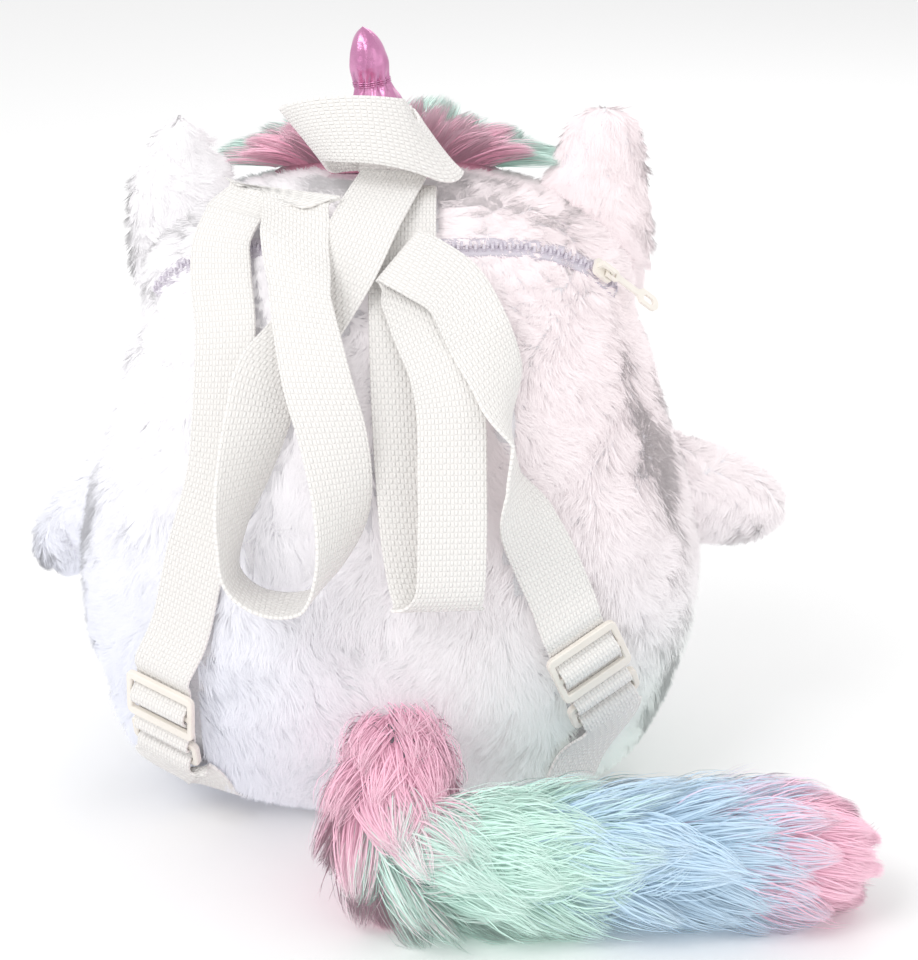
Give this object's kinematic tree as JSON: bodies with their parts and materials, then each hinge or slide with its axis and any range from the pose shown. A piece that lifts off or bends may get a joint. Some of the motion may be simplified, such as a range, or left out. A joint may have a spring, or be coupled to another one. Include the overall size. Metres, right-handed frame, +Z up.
{
  "type": "kids animal backpack",
  "caption": "Plush unicorn backpack for a child, seen from behind: egg-shaped body with a zip, handle loop, two webbing straps on adjusters, ears, arms, gathered horn, fur mane and long fur tail.",
  "frame": {"origin": "middle of the flat patch under the body, on the floor", "axes": "+Z up, -Y the back panel that lies against the wearer, +X the wearer's right, where the tail's tip lies"},
  "size_m": [0.3301, 0.2603, 0.2981],
  "materials": {
    "plush": "white short-pile plush",
    "mane_fur": "long pile in pink and mint",
    "tail_fur": "long pile in pink, mint and blue",
    "horn_foil": "shiny pink foil cloth",
    "webbing": "white basket-weave webbing",
    "plastic": "moulded ivory plastic",
    "zip": "white zip tape and teeth"
  },
  "bodies": {
    "bag": {"plush_body": "plush", "ear_left": "plush", "ear_right": "plush", "arm_left": "plush", "arm_right": "plush", "horn": "horn_foil", "mane": "mane_fur", "tail": "tail_fur", "handle_loop": "webbing", "strap_left": "webbing", "strap_right": "webbing", "anchor_left": "webbing", "anchor_right": "webbing", "slider_left": "plastic", "slider_right": "plastic", "ring_left": "plastic", "ring_right": "plastic", "zip_tape": "zip", "zip_slider": "plastic"},
    "zip_pull": {"zip_pull": "plastic"}
  },
  "joints": [
    {"name": "zip_pull_hinge", "type": "hinge", "parent": "bag", "child": "zip_pull", "pos_m": [0.08346, -0.03634, 0.22026], "axis": [-0.2035, -0.7422, -0.6385], "range_deg": [0, 120]}
  ]
}
